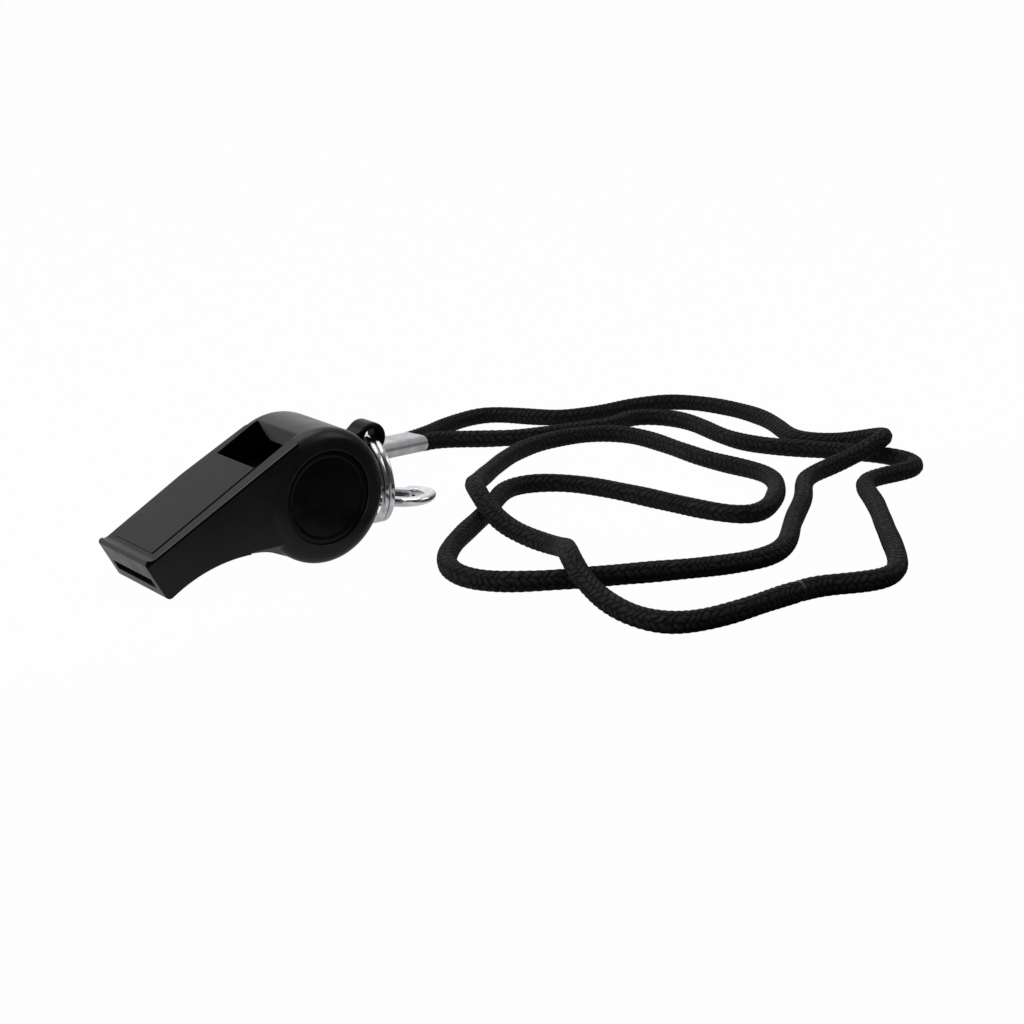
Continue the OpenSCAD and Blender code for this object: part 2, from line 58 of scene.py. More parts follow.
# Places nearer than this count as one, and directions whose product is larger as alike.
SLACK_MM = 0.05
FACING = 0.9
# At scale 1 a wave texture repeats at this distance.
WAVE_PERIOD = 0.314


class Body(Enum):
    """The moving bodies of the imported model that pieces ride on."""

    WHISTLE = "whistle"
    PEA = "cork_ball"
    RING = "ring"
    LANYARD = "lanyard"
    HOOK = "hook"
    GATE = "gate"


class Slot(Enum):
    """The record's material slots that the new pieces take."""

    SHELL = "shell_plastic"
    CAP = "cap_plastic"
    CORK = "cork"
    RING = "ring_steel"
    HOOK = "hook_chrome"
    SLEEVE = "sleeve_aluminium"
    CORD = "cord_black"


class Zone(Enum):
    """The parts of the shell that have a finish of their own."""

    FLAT = "flat top round the roof plate"
    # Painted light: the window's rear wall is coloured light grey.
    PAINTED_LIGHT_WALL = "window's rear wall"
    # Painted shade: the inner walls, and a line under the near top edge, are coloured nearly black.
    PAINTED_SHADE = "walls that no light reaches"
    LUG = "lug"
    # Painted highlight: a lighter line along the near top edge.
    PAINTED_HIGHLIGHT = "bright line along the near top edge"


def tint(code: str) -> tuple[float, float, float, float]:
    """Turns an sRGB hex colour into linear red, green, blue and alpha.

    Args:
        code: six hex digits with a leading hash sign.

    Returns:
        The linear colour, with alpha 1.
    """
    parts = [int(code[i : i + 2], 16) / 255 for i in (1, 3, 5)]
    linear = [c / 12.92 if c <= 0.04045 else ((c + 0.055) / 1.055) ** 2.4 for c in parts]
    return linear[0], linear[1], linear[2], 1.0


WHITE = tint("#ffffff")


def per_mm(size_mm: float) -> float:
    """The texture scale at which one feature measures size_mm."""
    return 1 / (size_mm * MM)


def feed(tree: NodeTree, node: Node, inputs: dict | tuple) -> None:
    """Sets or links the inputs of one shader node.

    Args:
        tree: the node tree.
        node: the node.
        inputs: for each socket, by its name or number or in their order, a value, the output that
            feeds it, or the node whose first output feeds it.
    """
    for name, value in inputs.items() if isinstance(inputs, dict) else enumerate(inputs):
        source = value.outputs[0] if isinstance(value, Node) else value
        if isinstance(source, NodeSocket):
            tree.links.new(source, node.inputs[name])
        else:
            node.inputs[name].default_value = source


def put(
    tree: NodeTree, kind: str, inputs: dict | tuple = (), stops: tuple = (), **settings: object
) -> Node:
    """Adds one shader node with its settings, values, links and ramp stops.

    Args:
        tree: the material's or world's node tree.
        kind: the node's type name after the word ShaderNode.
        inputs: what its sockets take, as feed reads it.
        stops: for a colour ramp, pairs of position and hex colour, the first and the last ahead.
        settings: the node's own properties.

    Returns:
        The new node.
    """
    made = tree.nodes.new(f"ShaderNode{kind}")
    for name, value in settings.items():
        setattr(made, name, value)
    feed(tree, made, inputs)
    if stops:
        elements = made.color_ramp.elements
        for element, (position, code) in zip(list(elements), stops):
            element.position = position
            element.color = tint(code)
        for position, code in stops[2:]:
            elements.new(position).color = tint(code)
    return made


@dataclass(frozen=True)
class Finish:
    """What every finish shares: its name, and a tree with one surface shader."""

    label: str

    def start(self) -> tuple[Material, NodeTree, Node, NodeSocket]:
        """Makes the empty material.

        Returns:
            The material, its node tree, its surface shader and the place in the model.
        """
        material = bpy.data.materials.new(self.label)
        material.use_nodes = True
        tree = material.node_tree
        place = put(tree, "TexCoord").outputs["Object"]
        return material, tree, tree.nodes["Principled BSDF"], place


@dataclass(frozen=True)
class MouldedPlastic(Finish):
    """Injection-moulded black ABS: a satin skin, nearly black, with a polished mould's sheen."""

    dark: str = "#141416"
    light: str = "#1a1a1d"
    smooth: float = 0.27
    dull: float = 0.36
    flow_mm: float = 5.0
    skin_mm: float = 0.45
    skin_depth_mm: float = 0.004
    rub_mm: float = 1.6
    edge_mm: float = 0.45
    gloss: float = 0.22
    under_share: float = 0.3

    def material(self) -> Material:
        """Builds the plastic: cloudy flow marks, a fine mould skin and faint rubbed streaks.

        Returns:
            The material.
        """
        material, tree, shader, place = self.start()
        clouds = {"Scale": per_mm(self.flow_mm), "Detail": 4.0, "Roughness": 0.55}
        flow = put(tree, "TexNoise", {"Vector": place, **clouds})
        colour = put(tree, "ValToRGB", (flow,), ((0.34, self.dark), (0.68, self.light)))
        # Handling leaves short soft streaks along the whistle, finer than they are long.
        along = put(tree, "Mapping", {"Vector": place, "Scale": (0.3, 1.0, 1.0)})
        rub = put(tree, "TexNoise", {"Vector": along, "Scale": per_mm(self.rub_mm)})
        rubbed = put(tree, "Math", (rub, flow), operation="MULTIPLY")
        rough = put(tree, "MapRange", (rubbed, 0.14, 0.36, self.smooth, self.dull))
        skin = put(tree, "TexNoise", {"Vector": place, "Scale": per_mm(self.skin_mm)})
        bump = put(tree, "Bump", {"Height": skin, "Distance": self.skin_depth_mm * MM})
        if self.edge_mm:
            # A worn mould leaves no sharp edge, so the light rolls round each one.
            rolled = put(tree, "Bevel", {"Radius": self.edge_mm * MM}, samples=6)
            feed(tree, bump, {"Normal": rolled})
        # The underside, which lies on tables, has lost some of its gloss.
        upward = put(tree, "SeparateXYZ", (place.node.outputs["Normal"],)).outputs["Z"]
        under = self.gloss * self.under_share
        glossy = put(tree, "MapRange", (upward, -0.95, -0.6, under, self.gloss))
        feed(tree, shader, {"Base Color": colour, "Roughness": rough, "Normal": bump})
        feed(tree, shader, {"IOR": 1.5, "Specular IOR Level": glossy})
        return material


@dataclass(frozen=True)
class Cork(Finish):
    """Agglomerated cork: pressed granules in tan and brown, matte, with dark pits between them."""

    pale: str = "#c79a64"
    tan: str = "#a97b48"
    brown: str = "#7a5431"
    dark: str = "#3b2413"
    granule_mm: float = 0.9
    speck_mm: float = 0.5
    pit_depth_mm: float = 0.08

    def material(self) -> Material:
        """Builds the cork from cells for the granules and noise for the dark specks.

        Returns:
            The material.
        """
        material, tree, shader, place = self.start()
        cells = put(tree, "TexVoronoi", {"Vector": place, "Scale": per_mm(self.granule_mm)})
        stops = ((0.0, self.brown), (1.0, self.pale), (0.45, self.tan))
        granule = put(tree, "ValToRGB", (cells.outputs["Color"],), stops)
        grain = {"Scale": per_mm(self.speck_mm), "Detail": 5.0, "Roughness": 0.7}
        specks = put(tree, "TexNoise", {"Vector": place, **grain})
        speck = put(tree, "MapRange", (specks, 0.56, 0.66))
        mixed = put(tree, "Mix", {0: speck, 6: granule, 7: tint(self.dark)}, data_type="RGBA")
        pits = {"Height": cells, "Distance": self.pit_depth_mm * MM}
        bump = put(tree, "Bump", pits, invert=True)
        feed(tree, shader, {"Base Color": mixed.outputs[2], "Normal": bump, "Roughness": 0.82})
        return material


@dataclass(frozen=True)
class BrightMetal(Finish):
    """A plated or bare metal: its colour, how sharp it mirrors, and the waviness of its surface."""

    pale: str = "#d9dadd"
    grey: str = "#b4b5b9"
    smooth: float = 0.08
    dull: float = 0.2
    patch_mm: float = 2.5
    wave_mm: float = 2.2
    wave_depth_mm: float = 0.02
    line_mm: float = 0.0
    line_depth_mm: float = 0.0
    line_stretch: tuple = (1.0, 1.0, 1.0)

    def material(self) -> Material:
        """Builds the metal: tarnish patches, a wavy cast surface, and drawn lines where it has any.

        Returns:
            The material.
        """
        material, tree, shader, place = self.start()
        tarnish = {"Scale": per_mm(self.patch_mm), "Detail": 5.0, "Roughness": 0.6}
        patch = put(tree, "TexNoise", {"Vector": place, **tarnish})
        colour = put(tree, "ValToRGB", (patch,), ((0.35, self.grey), (0.62, self.pale)))
        rough = put(tree, "MapRange", (patch, 0.3, 0.7, self.dull, self.smooth))
        wave = put(tree, "TexNoise", {"Vector": place, "Scale": per_mm(self.wave_mm), "Detail": 1})
        bump = put(tree, "Bump", {"Height": wave, "Distance": self.wave_depth_mm * MM})
        if self.line_mm:
            drawn = put(tree, "Mapping", {"Vector": place, "Scale": self.line_stretch})
            scale, depth = per_mm(self.line_mm), self.line_depth_mm * MM
            lines = put(tree, "TexNoise", {"Vector": drawn, "Scale": scale, "Detail": 3.0})
            bump = put(tree, "Bump", {"Height": lines, "Distance": depth, "Normal": bump})
        feed(tree, shader, {"Base Color": colour, "Roughness": rough, "Normal": bump, "Metallic": 1})
        return material


@dataclass(frozen=True)
class BraidedPolyester(Finish):
    """Soft black polyester braid: matte, a little fuzzy, with painted shade that turns it nearly
    black where the plaits dive under.

    The plaits are drawn in the cord's own coordinates, in step with the relief of its mesh.
    """

    girth_mm: float
    lay_mm: float
    carriers: int
    # The crevice and shade colours are painted shade, darker the deeper a plait dives; the crown is
    # the braid's own colour.
    painted_crevice_shade: str = "#000000"
    shade: str = "#080809"
    crown: str = "#171718"
    sheen: str = "#b9b9bd"
    wander_mm: float = 3.5
    fuzz_mm: float = 1.4
    # Real filaments are near 0.03 mm; they are drawn at thread_mm, so that they show at all.
    thread_mm: float = 0.3
    plait_depth_mm: float = 0.25
    thread_depth_mm: float = 0.03
    fuzz_depth_mm: float = 0.2

    def plaits(self, tree: NodeTree, uv: Node, place: NodeSocket) -> tuple[Node, Node, tuple]:
        """Draws two families of plaits that pass over two and under two.

        Args:
            tree: the material's node tree.
            uv: the cord's own coordinates.
            place: the place in the model, by which the plaits wander a little.

        Returns:
            The height, which family lies on top, and the two rows that a plait is known by.
        """
        wander = put(tree, "TexNoise", {"Vector": place, "Scale": per_mm(self.wander_mm)})
        drift = put(tree, "MapRange", (wander, 0.3, 0.7, -0.6, 0.6))
        parts = put(tree, "SeparateXYZ", (uv,)).outputs
        per_girth = self.carriers * per_mm(self.girth_mm)
        per_lay = self.carriers * per_mm(self.lay_mm)
        turn = put(tree, "Math", (parts["X"], per_girth), operation="MULTIPLY")
        run = put(tree, "Math", (parts["Y"], per_lay, drift), operation="MULTIPLY_ADD")
        left = put(tree, "Math", (turn, run), operation="SUBTRACT")
        right = put(tree, "Math", (turn, run), operation="ADD")
        row_left = put(tree, "Math", (left,), operation="FLOOR")
        row_right = put(tree, "Math", (right,), operation="FLOOR")
        rows = put(tree, "Math", (row_left, row_right), operation="ADD")
        step = put(tree, "Math", (rows, 4.0), operation="FLOORED_MODULO")
        over = put(tree, "Math", (step, 2.0), operation="LESS_THAN")
        edges, dives = [], []
        for own, row, other in ((right, row_right, left), (left, row_left, right)):
            edges.append(put(tree, "Math", (own, 0.5), operation="PINGPONG"))
            across = put(tree, "Math", (row, other), operation="ADD")
            dives.append(put(tree, "Math", (across, 1.0), operation="PINGPONG"))
        edge = put(tree, "Mix", {0: over, 2: edges[0], 3: edges[1]})
        dive = put(tree, "Mix", {0: over, 2: dives[0], 3: dives[1]})
        side = put(tree, "MapRange", (edge, 0.02, 0.26), interpolation_type="SMOOTHSTEP")
        end = put(tree, "MapRange", (dive, 0.0, 0.5, 0.15, 1.0), interpolation_type="SMOOTHSTEP")
        height = put(tree, "Math", (side, end), operation="MULTIPLY")
        return height, over, (row_left, row_right)

    def threads(self, tree: NodeTree, uv: Node, over: Node) -> Node:
        """Draws the threads, which lean one way in each family of plaits.

        Args:
            tree: the material's node tree.
            uv: the cord's own coordinates.
            over: which family lies on top.

        Returns:
            The threads' height.
        """
        families = []
        for lean in (45, -45):
            turn = (0.0, 0.0, math.radians(lean))
            turned = put(tree, "Mapping", {"Vector": uv, "Rotation": turn})
            scale = per_mm(self.thread_mm) * WAVE_PERIOD
            inputs = {"Vector": turned, "Scale": scale, "Distortion": 1.2, "Detail": 1.0}
            families.append(put(tree, "TexWave", inputs).outputs["Fac"])
        return put(tree, "Mix", {0: over, 2: families[0], 3: families[1]})

    def material(self) -> Material:
        """Builds the braid: its plaits, each with a tone of its own, its threads and a soft fuzz.

        Returns:
            The material.
        """
        material, tree, shader, place = self.start()
        uv = put(tree, "UVMap", uv_map="cord_uv")
        height, over, rows = self.plaits(tree, uv, place)
        thread = self.threads(tree, uv, over)
        chance = put(tree, "TexWhiteNoise", (put(tree, "CombineXYZ", rows),))
        own_tone = put(tree, "MapRange", (chance, 0.0, 1.0, 0.7, 1.3))
        # Painted shade: the colour darkens with the plaits' height, to black in the crevices where
        # they dive under.
        stops = ((0.08, self.painted_crevice_shade), (0.95, self.crown), (0.5, self.shade))
        base = put(tree, "ValToRGB", (height,), stops)
        fibres = {"Scale": per_mm(self.fuzz_mm), "Detail": 5.0, "Roughness": 0.7}
        fuzz = put(tree, "TexNoise", {"Vector": place, **fibres})
        faded = put(tree, "MapRange", (fuzz, 0.3, 0.7, 0.6, 1.45))
        tone = put(tree, "Math", (faded, own_tone), operation="MULTIPLY")
        colour = put(tree, "VectorMath", {0: base, "Scale": tone}, operation="SCALE")
        normal = None
        for raised, depth_mm, strength in (
            (height, self.plait_depth_mm, 1.0),
            (thread, self.thread_depth_mm, 0.7),
            (fuzz, self.fuzz_depth_mm, 0.6),
        ):
            inputs = {"Height": raised, "Distance": depth_mm * MM, "Strength": strength}
            if normal:
                inputs["Normal"] = normal
            normal = put(tree, "Bump", inputs)
        matte = {"Roughness": 0.75, "Specular IOR Level": 0.12}
        sheen = {"Sheen Weight": 0.02, "Sheen Roughness": 0.5, "Sheen Tint": tint(self.sheen)}
        feed(tree, shader, {"Base Color": colour, "Normal": normal, **matte, **sheen})
        return material


@dataclass(frozen=True)
class PalePaper(Finish):
    """The white sweep under the object: matte paper with a fine tooth, which takes its shadow.

    Toward the camera its colour darkens past painted_dark_m: a painted dark floor, which glossy
    surfaces show as a painted dark reflection.
    """

    pale: str = "#a0a0a0"
    grey: str = "#9c9c9d"
    tooth_mm: float = 6.0
    white_share: float = 0.985
    mirror_share: float = 0.5
    painted_dark_m: tuple = (-0.06, -0.015)
    painted_dark_share: float = 0.1

    def material(self) -> Material:
        """Builds the paper: a matte sheet, shown white to the camera and to mirrors.

        Returns:
            The material.
        """
        material, tree, shader, place = self.start()
        tooth = put(tree, "TexNoise", {"Vector": place, "Scale": per_mm(self.tooth_mm)})
        colour = put(tree, "ValToRGB", (tooth,), ((0.3, self.grey), (0.7, self.pale)))
        # Painted shade: the sheet darkens toward the camera, and mirrors see less white there, so
        # that glossy surfaces reflect a dark floor.
        away = put(tree, "SeparateXYZ", (place,)).outputs["Y"]
        darker = (away, *self.painted_dark_m, self.painted_dark_share)
        near = put(tree, "MapRange", darker, interpolation_type="SMOOTHSTEP")
        sheet = put(tree, "VectorMath", {0: colour, "Scale": near}, operation="SCALE")
        feed(tree, shader, {"Base Color": sheet, "Roughness": 0.9, "Specular IOR Level": 0.1})
        path = put(tree, "LightPath").outputs
        straight = (path["Is Camera Ray"], path["Is Transmission Ray"])
        seen = put(tree, "Math", straight, operation="MAXIMUM")
        direct = put(tree, "Math", (seen, self.white_share), operation="MULTIPLY")
        mirrored = put(tree, "Math", (near, self.mirror_share), operation="MULTIPLY")
        glossy = (path["Is Glossy Ray"], mirrored, direct)
        share = put(tree, "Math", glossy, operation="MULTIPLY_ADD")
        white = put(tree, "Emission", {"Color": WHITE, "Strength": 1.0})
        both = put(tree, "MixShader", (share, shader, white))
        feed(tree, tree.nodes["Material Output"], {"Surface": both})
        return material


@dataclass
class PhotoCamera:
    """The camera of the photograph: a long lens, low, in front and to the left of the whistle."""

    lens_mm: float = 70.3125
    sensor_mm: float = 36.0
    nearest: float = 0.01
    place: tuple = (-0.168593, -0.28681, 0.10683)
    right: tuple = (0.7878, -0.6159, 0.0)
    up: tuple = (0.1752, 0.2241, 0.9587)
    back: tuple = (-0.5905, -0.7552, 0.2845)

    def build(self) -> Object:
        """Adds the camera and makes it the scene's own.

        Returns:
            The camera object.
        """
        data = bpy.data.cameras.new("photo_camera")
        data.lens = self.lens_mm
        data.sensor_width = self.sensor_mm
        data.sensor_fit = "HORIZONTAL"
        data.clip_start = self.nearest
        camera = bpy.data.objects.new("photo_camera", data)
        bpy.context.scene.collection.objects.link(camera)
        turn = Matrix((self.right, self.up, self.back)).transposed().to_4x4()
        camera.matrix_world = Matrix.Translation(Vector(self.place)) @ turn
        bpy.context.scene.camera = camera
        return camera


def run_along(line: np.ndarray) -> np.ndarray:
    """How far along a line each of its points lies."""
    return np.concatenate([[0.0], np.cumsum(np.linalg.norm(np.diff(line, axis=0), axis=1))])


def ripple(run_mm: np.ndarray, waves: tuple) -> np.ndarray:
    """Adds up waves along a cord, each by its height, its length over two pi and its start."""
    return sum(height * np.sin(run_mm / length + start) for height, length, start in waves)


@dataclass
class BraidedCord:
    """One stretch of round braid along a smooth course, with real plaits on its surface."""

    name: str
    route_mm: tuple
    diameter_mm: float = 3.6
    relief_mm: float = 0.14
    carriers: int = 8
    lay_mm: float = 11.3
    around: int = 36
    step_mm: float = 0.3
    span_steps: int = 48
    squeeze: tuple = (1.0, 1.0)
    # The plaits wander a little, as a soft braid's do when the cord has been folded.
    wander_mm: tuple = ((0.5, 7.3, 0.0), (0.35, 3.1, 1.3))
    # The cord swells and thins by these shares of its radius, about a little over the whole.
    full_share: float = 1.01
    swell_shares: tuple = ((0.018, 4.7, 0.0), (0.014, 1.9, 0.7))

    def course(self) -> np.ndarray:
        """Evaluates the same uniform cubic spline as the solids, at even steps.

        Returns:
            The centreline's points, in metres.
        """
        route = np.array(self.route_mm, float)
        ends = np.vstack([2 * route[0] - route[1], route, 2 * route[-1] - route[-2]])
        t = np.linspace(0, 1, self.span_steps, endpoint=False)[:, None]
        weights = ((1 - t) ** 3, 3 * t**3 - 6 * t**2 + 4, 3 * t + 3 * t**2 - 3 * t**3 + 1, t**3)
        spans = [
            sum(w * ends[i + k] for k, w in enumerate(weights)) / 6 for i in range(len(route) - 1)
        ]
        line = np.vstack([*spans, route[-1:]])
        run = run_along(line)
        count = max(2, int(round(run[-1] / self.step_mm)))
        even = np.linspace(0, run[-1], count + 1)
        line = np.stack([np.interp(even, run, line[:, k]) for k in range(3)], axis=1)
        return (line + CHAMBER_MM) * MM

    def plaits(self, turn: np.ndarray, run_mm: np.ndarray) -> np.ndarray:
        """The braid's relief: two families of strands that pass over two and under two.

        Args:
            turn: place round the cord, from 0 to 1.
            run_mm: place along the cord.

        Returns:
            The height, from 0 in a crevice to 1 on a plait's crown.
        """
        a = self.carriers * (turn - run_mm / self.lay_mm)
        b = self.carriers * (turn + run_mm / self.lay_mm)
        row_a, row_b = np.floor(a), np.floor(b)
        crown_a = np.sin(np.pi * np.clip((row_a + b) % 4 / 2, 0, 1))
        crown_b = np.sin(np.pi * np.clip(((row_b + a) % 4 - 2) / 2, 0, 1))
        side_a = np.sin(np.pi * (a - row_a)) ** 0.6
        side_b = np.sin(np.pi * (b - row_b)) ** 0.6
        over = (row_a + row_b) % 4 < 2
        return np.where(over, side_a * (0.35 + 0.65 * crown_a), side_b * (0.35 + 0.65 * crown_b))

    def frames(self, line: np.ndarray) -> tuple[np.ndarray, np.ndarray]:
        """Carries a side and an upper direction along the course without twist.

        Args:
            line: the centreline's points.

        Returns:
            The side and the upper direction at each point.
        """
        ahead = np.gradient(line, axis=0)
        ahead /= np.linalg.norm(ahead, axis=1)[:, None]
        aside = np.cross(ahead, [0.0, 0.0, 1.0])
        aside /= np.linalg.norm(aside, axis=1)[:, None]
        return aside, np.cross(aside, ahead)

    def skin(self, line: np.ndarray, run_mm: np.ndarray, drawn_mm: np.ndarray) -> np.ndarray:
        """Places the points of the cord's surface, ring after ring.

        Args:
            line: the centreline's points.
            run_mm: how far along the cord each point lies.
            drawn_mm: the same, with the plaits' wandering.

        Returns:
            The points, in metres.
        """
        aside, above = self.frames(line)
        grid_turn, grid_run = np.meshgrid(np.arange(self.around) / self.around, drawn_mm)
        height = self.plaits(grid_turn, grid_run)
        swell = self.full_share + ripple(run_mm, self.swell_shares)[:, None]
        reach = (self.diameter_mm / 2 - self.relief_mm * (1 - height)) * swell
        angle = 2 * np.pi * grid_turn
        wide = (np.cos(angle) * reach * self.squeeze[0] * MM)[..., None] * aside[:, None, :]
        tall = (np.sin(angle) * reach * self.squeeze[1] * MM)[..., None] * above[:, None, :]
        return (line[:, None, :] + wide + tall).reshape(-1, 3)

    def faces(self, rings: int) -> list[list[int]]:
        """Joins the rings by four-sided faces and closes both ends.

        Args:
            rings: how many rings the cord has.

        Returns:
            Each face's points, by their numbers.
        """
        around = self.around
        first = np.arange(rings - 1)[:, None] * around
        here, beside = first + np.arange(around), first + (np.arange(around) + 1) % around
        walls = np.stack([here, beside, beside + around, here + around], axis=-1)
        last = (rings - 1) * around
        caps = [list(range(around))[::-1], list(range(last, last + around))]
        return walls.reshape(-1, 4).tolist() + caps

    def unwrap(self, mesh: Mesh, drawn_mm: np.ndarray) -> None:
        """Gives the surface its own coordinates, in metres round the cord and along it.

        Args:
            mesh: the cord's mesh.
            drawn_mm: how far along the cord each ring lies, with the plaits' wandering.
        """
        turns = np.arange(self.around) / self.around
        after = turns + 1 / self.around
        girth = math.pi * self.diameter_mm * MM
        drawn = drawn_mm * MM
        low, high = drawn[:-1], drawn[1:]
        shape = (len(low), self.around, 4)
        across = np.broadcast_to(np.stack([turns, after, after, turns], axis=-1), shape) * girth
        along = np.broadcast_to(np.stack([low, low, high, high], axis=-1)[:, None, :], shape)
        walls = np.stack([across, along], axis=-1).reshape(-1, 2)
        caps = np.zeros((2 * self.around, 2))
        layer = mesh.uv_layers.new(name="cord_uv")
        layer.data.foreach_set("uv", np.vstack([walls, caps]).ravel())

    def build(self, body: Body, material: Material) -> Object:
        """Builds the tube with its plaits and its own coordinates.

        Args:
            body: the body that the cord rides on.
            material: the braid's finish.

        Returns:
            The cord's object.
        """
        line = self.course()
        run_mm = run_along(line) / MM
        drawn_mm = run_mm + ripple(run_mm, self.wander_mm)
        mesh = bpy.data.meshes.new(self.name)
        verts = self.skin(line, run_mm, drawn_mm)
        mesh.from_pydata(verts.tolist(), [], self.faces(len(line)))
        self.unwrap(mesh, drawn_mm)
        mesh.materials.append(material)
        made = bpy.data.objects.new(self.name, mesh)
        bpy.context.scene.collection.objects.link(made)
        work = bmesh.new()
        work.from_mesh(mesh)
        bmesh.ops.recalc_face_normals(work, faces=work.faces)
        work.to_mesh(mesh)
        work.free()
        mesh.shade_smooth()
        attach(made, body.value)
        return made

    def length(self) -> float:
        """The real length of this stretch, in metres."""
        return float(run_along(self.course())[-1])


BIGHT_MM = (
    (40.6, 39.4, 2.9), (33.5, 37.6, 2.6), (24.5, 32.5, 2.8), (15, 25.3, 3.6), (6.6, 18.4, 4.6),
    (1.5, 17.3, 4.2), (-3.7, 20.6, 3.2), (-5, 26.6, 2.2), (-1.7, 32, 1.8), (6.5, 37, 1.8),
    (16, 41, 1.8), (25, 42.5, 1.8), (33, 41.4, 2.5), (39.8, 43.1, 2.9),
)
LONG_MM = (
    (56.2, 47, 1.9), (61, 48.2, 1.8), (85.5, 60, 1.8), (90.5, 39, 1.8), (115.5, 42.5, 1.8),
    (128.5, 37.5, 1.8), (131, 13.5, 1.8), (118, -2.5, 1.8), (127, -12.5, 2.2), (127, -26, 7.8),
    (113, -22, 1.8), (99.5, -24, 1.8), (91, -34.5, 1.8), (75, -45, 1.8), (60, -60.5, 1.8),
    (35.5, -49, 1.8), (9, -39, 1.8), (11.5, -24, 1.8), (27, -12, 1.8), (40, -3.5, 1.8),
    (50.5, 8, 1.8), (64, 2, 1.8), (68, -24, 1.8), (72.5, -39.5, 1.8), (85.5, -32, 1.8),
    (99, -19, 1.8), (93.5, -5, 1.8), (97.5, 16, 1.8), (94.5, 28.5, 1.8), (73.5, 30, 1.8),
    (55, 17.5, 1.8), (43, 7, 3), (34, -5, 8), (30.5, -17, 2.6), (34, -32.5, 1.8),
    (23.5, -44, 7.6), (20.5, -54.5, 1.8), (19, -75, 1.8), (44, -72.5, 1.8), (49, -72.5, 1.8),
)
SHORT_MM = (
    (50, -72.5, 1.8), (55, -72.5, 1.8), (65.5, -78, 1.8), (74, -73, 1.8), (86.5, -58, 1.8),
    (99.5, -44, 1.8), (106, -33.5, 1.8), (114.5, -33, 1.8), (124, -34, 1.8), (127.5, -27, 1.8),
    (123, -16.5, 1.8), (111.5, -3.5, 1.8), (109.5, 6.5, 1.8), (113, 18, 1.8), (114, 27.5, 1.8),
    (106.5, 34.5, 1.8), (99, 30, 1.8), (89.5, 32, 1.8), (74, 34, 1.8), (62, 44.3, 1.8),
    (57.1, 43.2, 1.9),
)


def from_chamber(place: Vector) -> Vector:
    """A place of the model, measured in millimetres from the chamber's axis."""
    return place / MM - Vector(CHAMBER_MM)


def in_model(place_mm: Vector) -> Vector:
    """A place measured from the chamber's axis, as a place of the model."""
    return (place_mm + Vector(CHAMBER_MM)) * MM


def deselect() -> None:
    """Clears the selection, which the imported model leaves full."""
    bpy.ops.object.select_all(action="DESELECT")


def pick(piece: Object, test: Test) -> None:
    """Selects, in edit mode, the vertices whose place passes a test, and no others.

    Args:
        piece: the piece that is being edited.
        test: takes a place in millimetres from the chamber's axis.
    """
    work = bmesh.from_edit_mesh(piece.data)
    for vert in work.verts:
        vert.select = test(from_chamber(vert.co))
    work.select_flush(True)
    bmesh.update_edit_mesh(piece.data)


def shift(piece: Object, test: Test, by_mm: tuple) -> None:
    """Moves, in edit mode, the vertices whose place passes a test."""
    pick(piece, test)
    bpy.ops.transform.translate(value=[part * MM for part in by_mm])


def weigh(piece: Object, sharp: Test | None) -> None:
    """Marks the edges that are to be rounded.

    Args:
        piece: the piece.
        sharp: picks, by the middle in millimetres from the chamber's axis, edges left as they are.
    """
    work = bmesh.new()
    work.from_mesh(piece.data)
    weight = work.edges.layers.float.new("bevel_weight_edge")
    for edge in work.edges:
        if len(edge.link_faces) != 2 or edge.calc_face_angle(0) < EDGE_ANGLE:
            continue
        middle = from_chamber((edge.verts[0].co + edge.verts[1].co) / 2)
        if not (sharp and sharp(middle)):
            edge[weight] = 1.0
    work.to_mesh(piece.data)
    work.free()


def softened(
    node: str,
    body: Body,
    material: Material,
    round_mm: float,
    shape: Callable[[Object], None] | None = None,
    sharp: Test | None = None,
) -> Object:
    """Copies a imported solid, joins its loose triangles, rounds its edges and takes its place.

    Args:
        node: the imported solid's name.
        body: the body that it rides on.
        material: its finish.
        round_mm: how far the rounding reaches from an edge, or 0 for none.
        shape: eases the copy's form in edit mode, before the rounding.
        sharp: picks the edges that are left unrounded, by their middle.

    Returns:
        The new piece.
    """
    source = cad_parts[node]
    deselect()
    piece = bpy.data.objects.new(f"{node}_finished", source.data.copy())
    bpy.context.scene.collection.objects.link(piece)
    bpy.context.view_layer.objects.active = piece
    piece.select_set(True)
    piece.data.materials.clear()
    piece.data.materials.append(material)
    bpy.ops.object.mode_set(mode="EDIT")
    bpy.ops.mesh.select_mode(type="VERT")
    bpy.ops.mesh.select_all(action="SELECT")
    bpy.ops.mesh.customdata_custom_splitnormals_clear()
    bpy.ops.mesh.remove_doubles(threshold=2e-6)
    bpy.ops.mesh.dissolve_limited(angle_limit=math.radians(0.3))
    if shape:
        shape(piece)
    bpy.ops.object.mode_set(mode="OBJECT")
    if round_mm:
        weigh(piece, sharp)
        rounding = piece.modifiers.new("rounding", "BEVEL")
        rounding.width = round_mm * MM
        rounding.segments = 2
        rounding.limit_method = "WEIGHT"
        rounding.use_clamp_overlap = True
        bpy.ops.object.modifier_apply(modifier="rounding")
    bpy.ops.object.shade_smooth_by_angle(angle=EDGE_ANGLE)
    # Large flat faces keep their own normal, so that the rounding doesn't shade across them.
    flat = piece.modifiers.new("flat_faces", "WEIGHTED_NORMAL")
    flat.keep_sharp = True
    bpy.ops.object.modifier_apply(modifier="flat_faces")
    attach(piece, body.value)
    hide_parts(node)
    return piece


